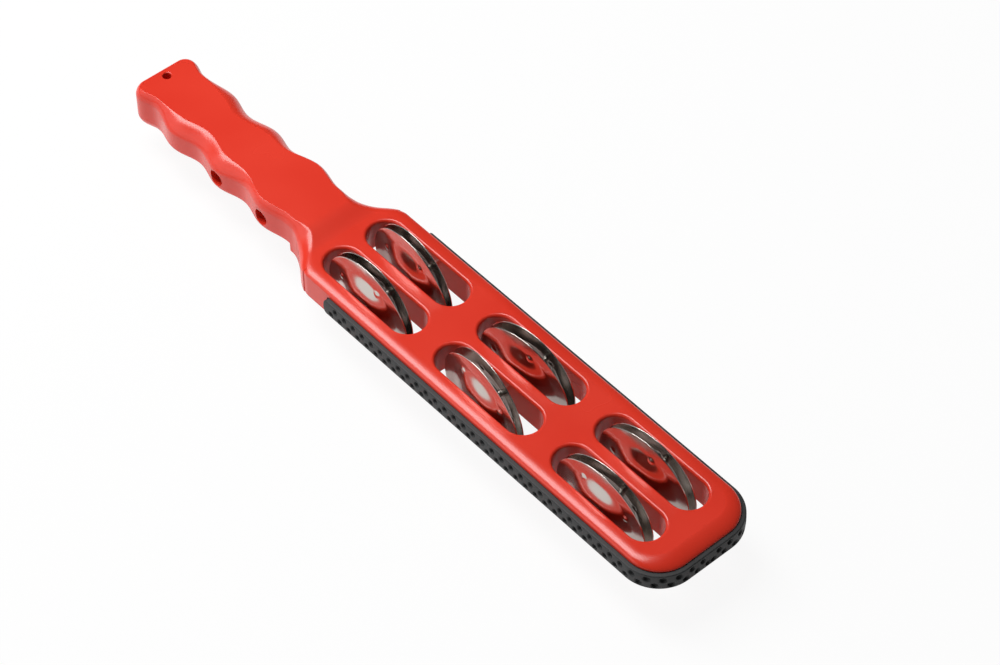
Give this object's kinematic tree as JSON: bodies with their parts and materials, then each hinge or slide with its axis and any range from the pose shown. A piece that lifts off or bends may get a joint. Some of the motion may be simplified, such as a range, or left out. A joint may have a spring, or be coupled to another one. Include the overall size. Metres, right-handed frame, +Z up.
{
  "type": "jingle stick",
  "caption": "Hand-held jingle stick with a scalloped handle, a flat slotted head, pressed metal jingles on cross pins and a rubber edge strip.",
  "frame": {"origin": "on the surface that the stick lies on, under the middle of its length and width", "axes": "+X along the stick from the handle to the head's free end, +Y across it to the left row of jingles, +Z up"},
  "size_m": [0.3648, 0.061, 0.0508],
  "materials": {
    "red_plastic": "semi-gloss moulded red",
    "black_rubber": "matt charcoal, dimpled",
    "pin_steel": "plain drawn steel",
    "nickel_plate": "bright nickel plate, lightly hammered"
  },
  "bodies": {
    "frame": {"upper_shell": "red_plastic", "lower_shell": "red_plastic", "edge_strip": "black_rubber"},
    "pin_1": {"jingle_pin_1": "pin_steel"},
    "pin_2": {"jingle_pin_2": "pin_steel"},
    "pin_3": {"jingle_pin_3": "pin_steel"},
    "jingle_right_1_outer": {"jingle_right_1_outer": "nickel_plate"},
    "jingle_right_1_inner": {"jingle_right_1_inner": "nickel_plate"},
    "jingle_right_2_outer": {"jingle_right_2_outer": "nickel_plate"},
    "jingle_right_2_inner": {"jingle_right_2_inner": "nickel_plate"},
    "jingle_right_3_outer": {"jingle_right_3_outer": "nickel_plate"},
    "jingle_right_3_inner": {"jingle_right_3_inner": "nickel_plate"},
    "jingle_left_1_inner": {"jingle_left_1_inner": "nickel_plate"},
    "jingle_left_1_outer": {"jingle_left_1_outer": "nickel_plate"},
    "jingle_left_2_inner": {"jingle_left_2_inner": "nickel_plate"},
    "jingle_left_2_outer": {"jingle_left_2_outer": "nickel_plate"},
    "jingle_left_3_inner": {"jingle_left_3_inner": "nickel_plate"},
    "jingle_left_3_outer": {"jingle_left_3_outer": "nickel_plate"}
  },
  "joints": [
    {"name": "pin_1_turn", "type": "hinge", "parent": "frame", "child": "pin_1", "pos_m": [-0.0139, 0, 0.02502], "axis": [0, 1, 0], "continuous": true},
    {"name": "pin_2_turn", "type": "hinge", "parent": "frame", "child": "pin_2", "pos_m": [0.0601, 0, 0.02502], "axis": [0, 1, 0], "continuous": true},
    {"name": "pin_3_turn", "type": "hinge", "parent": "frame", "child": "pin_3", "pos_m": [0.1341, 0, 0.02502], "axis": [0, 1, 0], "continuous": true},
    {"name": "jingle_right_1_outer_slide", "type": "slide", "parent": "pin_1", "child": "jingle_right_1_outer", "axis": [0, 1, 0], "range_m": [0, 0.0021]},
    {"name": "jingle_right_1_inner_slide", "type": "slide", "parent": "jingle_right_1_outer", "child": "jingle_right_1_inner", "axis": [0, 1, 0], "range_m": [0, 0.0021]},
    {"name": "jingle_right_2_outer_slide", "type": "slide", "parent": "pin_2", "child": "jingle_right_2_outer", "axis": [0, 1, 0], "range_m": [0, 0.0021]},
    {"name": "jingle_right_2_inner_slide", "type": "slide", "parent": "jingle_right_2_outer", "child": "jingle_right_2_inner", "axis": [0, 1, 0], "range_m": [0, 0.0021]},
    {"name": "jingle_right_3_outer_slide", "type": "slide", "parent": "pin_3", "child": "jingle_right_3_outer", "axis": [0, 1, 0], "range_m": [0, 0.0021]},
    {"name": "jingle_right_3_inner_slide", "type": "slide", "parent": "jingle_right_3_outer", "child": "jingle_right_3_inner", "axis": [0, 1, 0], "range_m": [0, 0.0021]},
    {"name": "jingle_left_1_inner_slide", "type": "slide", "parent": "pin_1", "child": "jingle_left_1_inner", "axis": [0, 1, 0], "range_m": [0, 0.0021]},
    {"name": "jingle_left_1_outer_slide", "type": "slide", "parent": "jingle_left_1_inner", "child": "jingle_left_1_outer", "axis": [0, 1, 0], "range_m": [0, 0.0021]},
    {"name": "jingle_left_2_inner_slide", "type": "slide", "parent": "pin_2", "child": "jingle_left_2_inner", "axis": [0, 1, 0], "range_m": [0, 0.0021]},
    {"name": "jingle_left_2_outer_slide", "type": "slide", "parent": "jingle_left_2_inner", "child": "jingle_left_2_outer", "axis": [0, 1, 0], "range_m": [0, 0.0021]},
    {"name": "jingle_left_3_inner_slide", "type": "slide", "parent": "pin_3", "child": "jingle_left_3_inner", "axis": [0, 1, 0], "range_m": [0, 0.0021]},
    {"name": "jingle_left_3_outer_slide", "type": "slide", "parent": "jingle_left_3_inner", "child": "jingle_left_3_outer", "axis": [0, 1, 0], "range_m": [0, 0.0021]}
  ]
}
